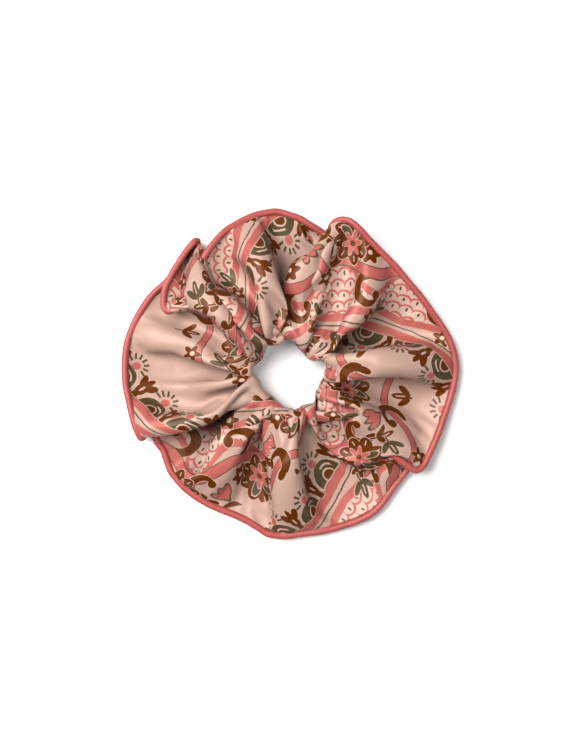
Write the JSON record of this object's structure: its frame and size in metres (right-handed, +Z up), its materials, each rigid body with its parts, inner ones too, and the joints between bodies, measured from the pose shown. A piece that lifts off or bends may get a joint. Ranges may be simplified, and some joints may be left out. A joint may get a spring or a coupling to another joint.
{
  "type": "scrunchie",
  "caption": "Gathered satin hair scrunchie: a folded cloth tube on a loop of elastic, with a corded piping round its outer seam.",
  "frame": {"origin": "on the table, under the middle of the hole", "axes": "+Z up through the hole; the ring lies flat in XY, and the casing's closing seam is near -Y"},
  "size_m": [0.1504, 0.149, 0.0279],
  "materials": {
    "printed_satin": "satin weave, floral print",
    "piping_satin": "bias-cut satin",
    "cotton_cord": "twisted cotton",
    "elastic": "braided",
    "white_thread": "spun polyester",
    "seam_thread": "spun polyester",
    "closing_thread": "spun polyester"
  },
  "bodies": {
    "cover": {"fabric_casing": "printed_satin", "piping_cover": "piping_satin", "piping_cord": "cotton_cord", "edge_seam_needle_thread": "seam_thread", "edge_seam_bobbin_thread": "seam_thread", "piping_seam_thread": "seam_thread", "closing_seam_thread": "closing_thread"},
    "elastic": {"elastic_band": "elastic", "elastic_join_thread": "white_thread"}
  },
  "joints": [
    {"name": "elastic_turn", "type": "hinge", "parent": "cover", "child": "elastic", "pos_m": [0, 0, 0.011], "axis": [0, 0, 1], "continuous": true}
  ]
}
